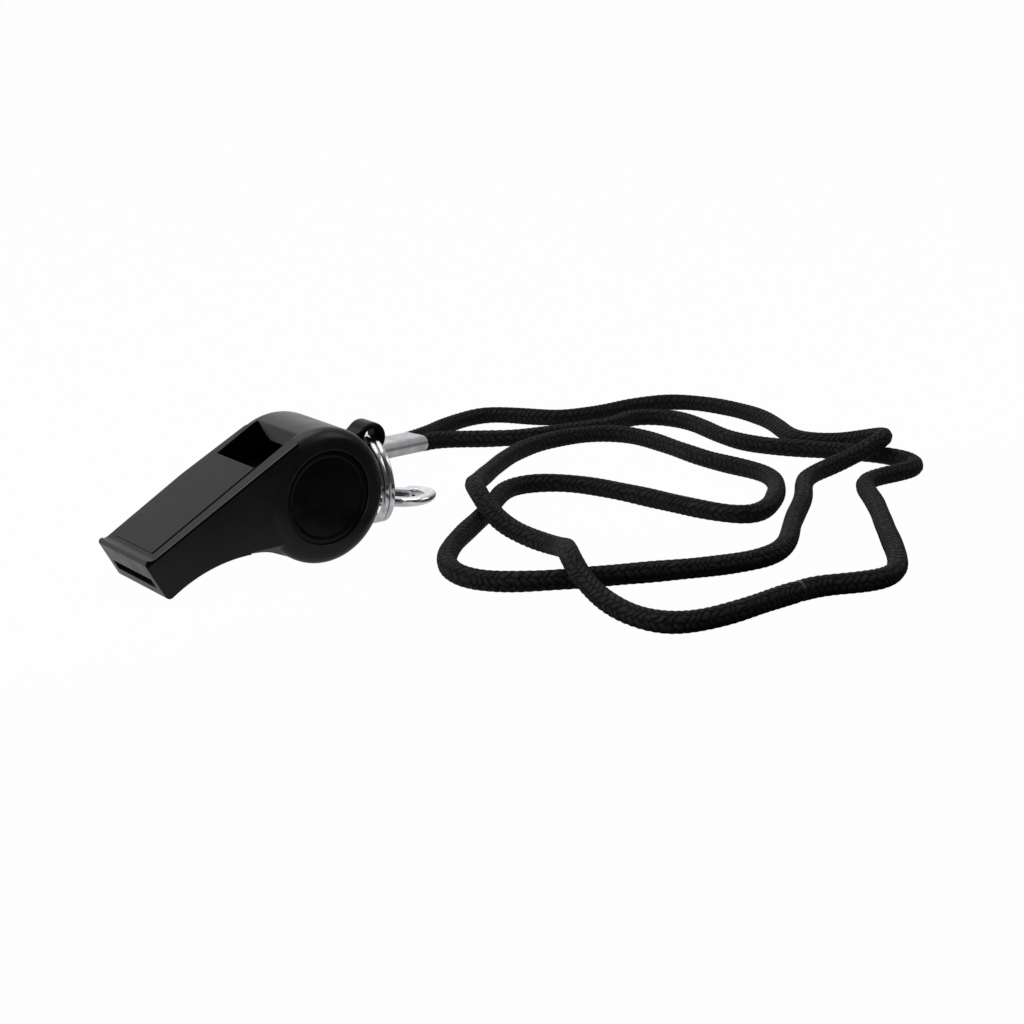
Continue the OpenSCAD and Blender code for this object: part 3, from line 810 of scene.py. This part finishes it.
@dataclass
class Lanyard:
    """The neck cord: a bight through the swivel's eye, a crimped sleeve and one long loop."""

    diameter_mm: float = 3.6
    sleeve_rear_mm: tuple = (40.2, 41.25, 2.9)
    sleeve_mouth_mm: tuple = (56.65, 45.1, 1.9)
    sleeve_length_mm: float = 16.5
    sleeve_round_mm: float = 0.16
    strand_wide_mm: float = 3.2
    strand_tall_mm: float = 2.56
    strand_gap_mm: float = 0.16
    strand_inset_mm: float = 0.02

    def build(self) -> list[Object]:
        """Builds the cords first, then dresses the sleeve and the melted joint.

        Returns:
            The new pieces.
        """
        braid = BraidedPolyester(
            "black_braided_polyester",
            girth_mm=math.pi * self.diameter_mm,
            lay_mm=BraidedCord.lay_mm,
            carriers=BraidedCord.carriers,
        ).material()
        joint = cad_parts["cord_joint"]
        pieces = []
        for node, route_mm, far_end, along in (
            ("cord_bight", BIGHT_MM, "object", []),
            ("neck_cord_long", LONG_MM, "knot", [joint]),
            ("neck_cord_short", SHORT_MM, "object", []),
        ):
            cord = BraidedCord(f"{node}_braid", route_mm, self.diameter_mm)
            made = cord.build(Body.LANYARD, braid)
            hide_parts(node)
            pieces.append(made)
        pieces.append(self.crimped(braid))
        self.dress(joint)
        return pieces

    def crimped(self, braid: Material) -> Object:
        """Builds the two strands where the sleeve squeezes them flat.

        Args:
            braid: the braid's finish.

        Returns:
            One piece with both strands.
        """
        rear, mouth = Vector(self.sleeve_rear_mm), Vector(self.sleeve_mouth_mm)
        middle, ahead = (rear + mouth) / 2, (mouth - rear).normalized()
        aside = ahead.cross(Vector((0, 0, 1))).normalized()
        half = self.sleeve_length_mm / 2 - self.strand_inset_mm
        apart = (self.strand_wide_mm + self.strand_gap_mm) / 2
        squeeze = (self.strand_wide_mm / self.diameter_mm, self.strand_tall_mm / self.diameter_mm)
        strands = []
        for name, side in (("near", -1), ("far", 1)):
            off = middle + aside * (side * apart)
            strand = BraidedCord(
                f"crimped_strand_{name}",
                tuple(tuple(off + ahead * (half * k)) for k in (-1, -0.5, 0, 0.5, 1)),
                self.diameter_mm,
                squeeze=squeeze,
            )
            strands.append(strand.build(Body.LANYARD, braid))
        deselect()
        for strand in strands:
            strand.select_set(True)
        bpy.context.view_layer.objects.active = strands[0]
        bpy.ops.object.join()
        strands[0].name = "crimped_strands_braid"
        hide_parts("crimped_strands")
        return strands[0]

    def dress(self, joint: Object) -> None:
        """Gives the sleeve its satin aluminium and the melted joint its glossy skin.

        Args:
            joint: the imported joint.
        """
        satin = BrightMetal(
            "satin_aluminium", pale="#c3c4c6", grey="#a9aaac", smooth=0.34, dull=0.46,
            patch_mm=3.0, wave_mm=4.0, wave_depth_mm=0.05, line_mm=0.35, line_depth_mm=0.006,
            line_stretch=(0.08, 0.3, 1.0),
        ).material()
        softened("ferrule", Body.LANYARD, satin, self.sleeve_round_mm)
        melted = MouldedPlastic(
            "melted_polyester", smooth=0.22, dull=0.5, flow_mm=0.8, skin_mm=0.7,
            skin_depth_mm=0.12,
        ).material()
        joint.data.materials.clear()
        joint.data.materials.append(melted)


@dataclass
class WhistleBody:
    """The moulded shell with its windway roof, its two side caps and the cork pea.

    Places are in millimetres from the chamber's axis, with X toward the lug, Y toward the far side
    and Z upward from the table.
    """

    roof_round_mm: float = 0.08
    cap_round_mm: float = 0.12
    # The chamber: how high its axis stands, and the radii that hold its bore, its drum at the lug
    # and its walls at the window.
    axis_up_mm: float = 12.0
    bore_mm: float = 7.9
    drum_mm: float = 11.2
    crown_mm: float = 11.6
    # The flat top: how far it runs and climbs, its front end, how true its faces lie, and between
    # what depths its cuts lie.
    slope: tuple = (0.872, 0.489)
    front_mm: tuple = (-32.4, 0.0, 7.6)
    true_share: float = 0.99
    cut_mm: tuple = (0.25, 5.4)
    # The windway starts behind the mouth, and the window's walls end at the chamber's crown.
    mouth_end_mm: float = -30.5
    window_mm: tuple = (-6.5, -1.8)
    rear_wall_mm: tuple = ((-4.5, 19.0), (-1.8, 23.3))
    # The roof plate's seat and its seams: the far one is closed, the near one made a groove.
    seat_half_mm: float = 6.4
    seam_mm: float = 0.09
    groove_mm: float = 0.4
    wall_mm: float = 0.36
    # Only the roof's edges past this side are rounded.
    roof_side_mm: float = -5.0
    # The lug: its middle, its reach and the rest of its thickness, on the far side.
    lug_mm: tuple = (14.4, 18.7)
    lug_reach_mm: float = 2.95
    lug_root_mm: float = 4.2
    lug_extra_mm: float = 1.2
    # The far cheek's end corner, and where it is eased to, down at the chamber's round rim.
    corner_mm: tuple = (-5.87, 9.12, 22.46)
    eased_mm: tuple = (-5.66, 8.62, 22.05)
    # The easing starts on the far top edge, and ends across the top and down the side.
    easing_mm: tuple = ((-18.0, 8.75, 15.61), (-5.87, 7.6, 22.46), (-5.33, 9.13, 21.5))
    # Faces larger than this are scored for it, and the step's face within this reach of the corner.
    large_mm2: float = 50.0
    step_mm: float = 1.4
    # The near cheek: its inside, its outside and its end at the drum.
    cheek_mm: tuple = (-6.6, -8.0)
    cheek_end_mm: float = -6.0
    # The near top edge: its ends in plan, and how wide its painted highlight line and its painted
    # shade line are.
    edge_mm: tuple = ((-32.8, -8.3), (-5.9, -9.1))
    edge_up_mm: float = 7.3
    painted_highlight_mm: float = 0.25
    painted_shade_mm: float = 0.38

    def build(self) -> list[Object]:
        """Shapes and dresses the shell, the roof plate, both caps and the pea.

        Returns:
            The new pieces.
        """
        shell = MouldedPlastic("black_moulded_abs").material()
        cap = MouldedPlastic(
            "black_cap_abs", dark="#060607", light="#0a0a0b", smooth=0.22, dull=0.3, flow_mm=3.0,
            gloss=0.15,
        ).material()
        zones = self.finishes()
        body = softened("body_shell", Body.WHISTLE, shell, 0.0, self.shape_shell)
        self.dress_faces(body, zones)
        return [
            body,
            softened(
                "windway_roof", Body.WHISTLE, zones[Zone.FLAT], self.roof_round_mm,
                shape=self.fit_roof, sharp=lambda middle: middle.y > self.roof_side_mm,
            ),
            softened("side_cap_near", Body.WHISTLE, cap, self.cap_round_mm),
            softened("side_cap_far", Body.WHISTLE, cap, self.cap_round_mm),
            softened("pea", Body.PEA, Cork("pressed_cork").material(), 0.0),
        ]

    def finishes(self) -> dict[Zone, Material]:
        """Makes the finishes of the shell's zones, all of the same plastic.

        Returns:
            Each zone's material.
        """
        plastics = {
            # Crisp seams, and less gloss than the drum has.
            Zone.FLAT: MouldedPlastic("black_abs_flat_top", edge_mm=0.0, gloss=0.135),
            # A slide core leaves this wall matt; its light grey colour is painted light, for the
            # light that it catches.
            Zone.PAINTED_LIGHT_WALL: MouldedPlastic(
                "black_abs_painted_light_face", dark="#404042", light="#4c4c4e", smooth=0.55, dull=0.7
            ),
            # The core leaves the inside dull; its near-black colour, also on a line under the near
            # top edge, is painted shade.
            Zone.PAINTED_SHADE: MouldedPlastic(
                "black_abs_painted_shade", dark="#020202", light="#040404", smooth=0.5, dull=0.6,
                edge_mm=0.0, gloss=0.05,
            ),
            Zone.LUG: MouldedPlastic("black_abs_lug", dark="#060607", light="#0a0a0b", gloss=0.09),
            # Painted highlight: a lighter grey line along the edge, a little glossier too.
            Zone.PAINTED_HIGHLIGHT: MouldedPlastic(
                "black_abs_painted_highlight_edge", dark="#242427", light="#303033", smooth=0.24, dull=0.32,
                edge_mm=0.0, gloss=0.26,
            ),
        }
        return {zone: plastic.material() for zone, plastic in plastics.items()}

    def ways(self) -> tuple[Vector, Vector]:
        """The directions down the flat top toward the mouth, and straight up out of it."""
        along, climb = self.slope
        return Vector((-along, 0, -climb)), Vector((-climb, 0, along))

    def shape_shell(self, piece: Object) -> None:
        """Gives the lug its full thickness, eases the far corner and scores the lines of painted
        highlight and painted shade along the near top edge.

        Args:
            piece: the shell's copy, in edit mode.
        """
        across, up = self.lug_mm
        shift(
            piece,
            lambda at: at.y > 0 and math.hypot(at.x - across, at.z - up) < self.lug_reach_mm,
            (0, self.lug_extra_mm, 0),
        )
        self.ease_corner(piece)
        start, end = (Vector((*place, self.edge_up_mm)) for place in self.edge_mm)
        inward = Vector((start.y - end.y, end.x - start.x, 0)).normalized()
        upward = self.ways()[1]
        # The painted highlight's line is scored through the whole shell, and the painted shade's
        # line in the near cheek only.
        for way, width, side in (
            (inward, self.painted_highlight_mm, math.inf),
            (-upward, self.painted_shade_mm, self.cheek_mm[0]),
        ):
            pick(piece, lambda at: at.y < side)
            bpy.ops.mesh.bisect(plane_co=in_model(start + way * width), plane_no=way)

    def ease_corner(self, piece: Object) -> None:
        """Scores the far faces round the cheek's end corner, and eases the corner down.

        Args:
            piece: the shell's copy, in edit mode.
        """
        edge, top, side = (Vector(place) for place in self.easing_mm)
        corner, eased = Vector(self.corner_mm), Vector(self.eased_mm)
        upward = self.ways()[1]
        pick(piece, lambda at: False)
        for face in bmesh.from_edit_mesh(piece.data).faces:
            large = face.calc_area() > self.large_mm2 * MM**2
            step = (from_chamber(face.calc_center_median()) - corner).length < self.step_mm
            outer = large and max(face.normal.y, face.normal.dot(upward)) > FACING
            if outer or (step and face.normal.x > FACING):
                face.select_set(True)
        bmesh.update_edit_mesh(piece.data)
        across = (top - edge).cross(side - edge).normalized()
        bpy.ops.mesh.bisect(plane_co=in_model(edge), plane_no=across)
        shift(piece, lambda at: (at - corner).length < SLACK_MM, eased - corner)

    def fit_roof(self, piece: Object) -> None:
        """Closes the roof plate's far seam, and widens the near one to a groove.

        Args:
            piece: the roof's copy, in edit mode.
        """
        edge = self.seat_half_mm - self.seam_mm
        for side, by_mm in ((1, self.seam_mm), (-1, self.groove_mm)):
            shift(piece, lambda at: abs(side * at.y - edge) < SLACK_MM, (0, by_mm, 0))

    def zone(self, face: MeshPolygon) -> Zone | None:
        """Tells which part of the shell a face belongs to.

        Args:
            face: a face of the finished shell.

        Returns:
            Its zone, or None for the plain outside.
        """
        forward, upward = self.ways()
        at = from_chamber(face.center)
        depth = (Vector(self.front_mm) - at).dot(upward)
        if abs(depth) < SLACK_MM and face.normal.dot(upward) > self.true_share:
            # A line along the near top edge takes the painted highlight.
            (x0, y0), (x1, y1) = self.edge_mm
            to_edge = at.y - y0 - (at.x - x0) * (y1 - y0) / (x1 - x0)
            return Zone.PAINTED_HIGHLIGHT if to_edge < self.painted_highlight_mm else Zone.FLAT
        radius = math.hypot(at.x, at.z - self.axis_up_mm)
        ahead = face.normal.dot(forward) > FACING
        narrow = abs(at.y) < self.seat_half_mm + self.wall_mm
        # The window's rear wall takes the light grey of painted light.
        (x0, z0), (x1, z1) = self.rear_wall_mm
        if ahead and narrow and x0 < at.x < x1 and z0 < at.z < z1:
            return Zone.PAINTED_LIGHT_WALL
        front, rear = self.window_mm
        shallow, deep = self.cut_mm
        hollow = at.x < front or (at.x < rear and radius < self.crown_mm)
        # The walls inside, and a strip of the near cheek under the top edge, take the near-black
        # painted shade.
        inside = narrow and (radius < self.bore_mm or (hollow and shallow < depth < deep))
        cheek = at.y < self.cheek_mm[1] and at.x < self.cheek_end_mm and -face.normal.y > FACING
        dark = cheek and depth < self.painted_shade_mm
        if dark or (inside and not (ahead and at.x < self.mouth_end_mm)):
            return Zone.PAINTED_SHADE
        to_lug = math.hypot(at.x - self.lug_mm[0], at.z - self.lug_mm[1])
        return Zone.LUG if to_lug < self.lug_root_mm and radius > self.drum_mm else None

    def dress_faces(self, piece: Object, finishes: dict[Zone, Material]) -> None:
        """Gives the shell's zones finishes of their own.

        Args:
            piece: the finished shell.
            finishes: each zone's material.
        """
        slots = {}
        for zone, material in finishes.items():
            slots[zone] = len(piece.data.materials)
            piece.data.materials.append(material)
        for face in piece.data.polygons:
            face.material_index = slots.get(self.zone(face), 0)


@dataclass
class HookAndRing:
    """The split ring in the lug, and the trigger hook with its gate, pin, spring and swivel eye."""

    ring_round_mm: float = 0.06
    hook_round_mm: float = 0.2
    pin_round_mm: float = 0.08
    gate_round_mm: float = 0.15
    eye_round_mm: float = 0.1
    pressed_mm: float = 7.2
    pressed_share: float = 0.5

    def build(self) -> list[Object]:
        """Rounds and dresses each metal piece.

        Returns:
            The new pieces.
        """
        ring = BrightMetal(
            "nickel_plated_spring_steel", pale="#dcdcde", grey="#b9babd", smooth=0.12, dull=0.24,
            wave_mm=1.2, wave_depth_mm=0.01,
        ).material()
        chrome = BrightMetal(
            "bright_chrome_plate", pale="#e2e3e6", grey="#c6c7cb", smooth=0.05, dull=0.12,
            wave_mm=2.6, wave_depth_mm=0.04,
        ).material()
        spring = BrightMetal("drawn_spring_wire", smooth=0.18, dull=0.3).material()
        return [
            softened("split_ring", Body.RING, ring, self.ring_round_mm),
            softened("hook_frame", Body.HOOK, chrome, self.hook_round_mm, self.press),
            softened("gate_pin", Body.HOOK, chrome, self.pin_round_mm),
            softened("hook_gate", Body.GATE, chrome, self.gate_round_mm),
            softened("gate_spring", Body.GATE, spring, 0.0),
            softened("swivel_eye", Body.LANYARD, chrome, self.eye_round_mm),
        ]

    def press(self, piece: Object) -> None:
        """Presses the top of the cast rails flat, as the closing die leaves them."""
        pick(piece, lambda at: at.z > self.pressed_mm)
        bpy.ops.transform.resize(
            value=(1.0, 1.0, self.pressed_share), center_override=(0, 0, self.pressed_mm * MM)
        )


@dataclass
class Studio:
    """A white sweep, a soft lamp at the left and one above, a card at the right, and a dim room."""

    floor_size: float = 14.0
    # Each lamp: its name, its place, the point that it faces, its side and its power in watts.
    lamps: tuple = (
        ("left_softbox", (-0.55, 0.02, 0.2), (0.03, 0.0, 0.01), 0.4, 3.0),
        ("top_softbox", (0.1, 0.15, 0.75), (0.05, 0.0, 0.01), 0.5, 1.6),
        ("right_card", (0.37, -0.3, 0.4), (0.03, 0.0, 0.01), 0.35, 0.7),
    )

    def build(self) -> None:
        """Builds the floor, the world and the lamps, and sets the plain view transform."""
        deselect()
        bpy.ops.mesh.primitive_plane_add(size=self.floor_size, location=(0, 0, 0))
        floor = bpy.context.active_object
        floor.name = "paper_sweep"
        floor.data.materials.append(PalePaper("white_paper").material())
        self.world()
        for lamp in self.lamps:
            self.lamp(*lamp)
        bpy.context.scene.view_settings.view_transform = "Standard"

    def world(self) -> None:
        """Fills the room with soft light, brighter behind the object, and white to the camera."""
        world = bpy.data.worlds.new("soft_room")
        bpy.context.scene.world = world
        world.use_nodes = True
        tree = world.node_tree
        way = put(tree, "SeparateXYZ", (put(tree, "TexCoord").outputs["Generated"],)).outputs
        behind = put(tree, "MapRange", (way["Y"], -0.6, 0.6, 0.08, 1.0))
        right = put(tree, "MapRange", (way["X"], 0.6, 0.95, 1.0, 0.35))
        glow = put(tree, "Math", (behind, right), operation="MULTIPLY")
        path = put(tree, "LightPath").outputs
        straight = (path["Is Camera Ray"], path["Is Transmission Ray"])
        seen = put(tree, "Math", straight, operation="MAXIMUM")
        room = put(tree, "Background", {"Color": WHITE, "Strength": glow})
        white = put(tree, "Background", {"Color": WHITE, "Strength": 1.0})
        both = put(tree, "MixShader", (seen, room, white))
        feed(tree, tree.nodes["World Output"], {"Surface": both})

    def lamp(self, name: str, place: tuple, aim: tuple, size: float, power: float) -> None:
        """Adds one square area lamp.

        Args:
            name: the lamp's name.
            place: where it hangs.
            aim: the point that it faces.
            size: the length of its side.
            power: its power in watts.
        """
        data = bpy.data.lights.new(name, "AREA")
        data.size = size
        data.energy = power
        lamp = bpy.data.objects.new(name, data)
        bpy.context.scene.collection.objects.link(lamp)
        lamp.location = place
        lamp.rotation_euler = (Vector(aim) - Vector(place)).to_track_quat("-Z", "Y").to_euler()


def main() -> None:
    """Builds the camera, the cords, the whistle, the metal pieces and the studio, in that order."""
    logging.basicConfig(level=logging.INFO, format="%(message)s")
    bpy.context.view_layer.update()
    PhotoCamera().build()
    for assembly in (Lanyard(), WhistleBody(), HookAndRing()):
        for piece in assembly.build():
            faces = len(piece.data.polygons)
            log.info("%s: %s with %d faces", type(assembly).__name__, piece.name, faces)
    Studio().build()


if __name__ == "__main__":
    main()
